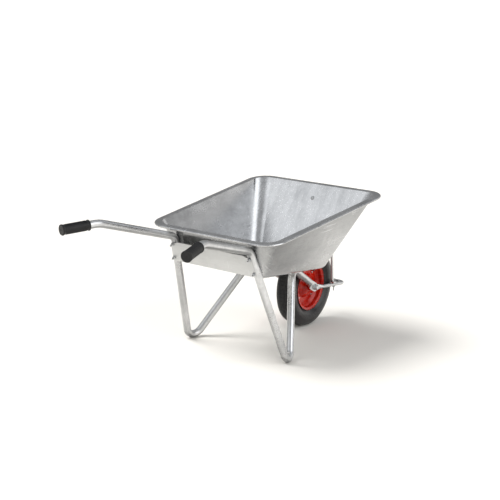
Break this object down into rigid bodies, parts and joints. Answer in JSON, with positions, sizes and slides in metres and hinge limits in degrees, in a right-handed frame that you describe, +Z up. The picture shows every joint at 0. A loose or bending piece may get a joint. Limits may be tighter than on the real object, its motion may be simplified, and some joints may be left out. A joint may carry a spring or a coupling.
{
  "type": "wheelbarrow",
  "caption": "Single-wheel barrow: deep pressed tray on bent tube legs with splayed handles, braced front hoop and a pneumatic wheel turning on a through axle.",
  "frame": {"origin": "on the ground, under the middle of the barrow's outline", "axes": "+X forward, from the grips to the wheel; +Y to the barrow's left; +Z up"},
  "size_m": [1.5197, 0.6874, 0.6483],
  "materials": {
    "galvanised_sheet": "hot-dip galvanised sheet, satin, faint spangle and wipe marks",
    "galvanised_tube": "galvanised steel tube, satin with small runs",
    "zinc_fastener": "zinc plated, semi-bright",
    "grip_rubber": "black moulded, lengthwise ribs",
    "tyre_rubber": "black ribbed tyre, satin sidewall",
    "tube_rubber": "smooth butyl",
    "black_plastic": "black",
    "red_paint": "glossy red enamel",
    "nylon": "natural nylon"
  },
  "bodies": {
    "frame": {"axle_bolt": "zinc_fastener", "axle_nut": "zinc_fastener", "axle_sleeve": "zinc_fastener", "axle_washers": "zinc_fastener", "cross_plate_bolts": "zinc_fastener", "cross_plate_nuts": "zinc_fastener", "cross_plate_washers": "zinc_fastener", "floor_bolts": "zinc_fastener", "floor_nuts": "zinc_fastener", "floor_washers": "zinc_fastener", "front_stay": "galvanised_tube", "left_frame_tube": "galvanised_tube", "left_grip": "grip_rubber", "rear_cross_plate": "galvanised_sheet", "rear_wall_bolts": "zinc_fastener", "right_frame_tube": "galvanised_tube", "right_grip": "grip_rubber", "stay_foot_bolts": "zinc_fastener", "stay_foot_nuts": "zinc_fastener", "stay_foot_washers": "zinc_fastener", "stay_top_bolt": "zinc_fastener", "stay_top_nut": "zinc_fastener", "stay_top_washer": "zinc_fastener", "tipping_hoop": "galvanised_tube", "tray": "galvanised_sheet"},
    "wheel": {"tyre": "tyre_rubber", "inner_tube": "tube_rubber", "valve_cap": "black_plastic", "left_rim_half": "red_paint", "right_rim_half": "red_paint", "rim_bolts": "zinc_fastener", "rim_nuts": "zinc_fastener", "hub_tube": "red_paint", "left_bush": "nylon", "right_bush": "nylon"}
  },
  "joints": [
    {"name": "wheel_spin", "type": "hinge", "parent": "frame", "child": "wheel", "pos_m": [0.50523, 0, 0.185], "axis": [0, 1, 0], "continuous": true}
  ]
}
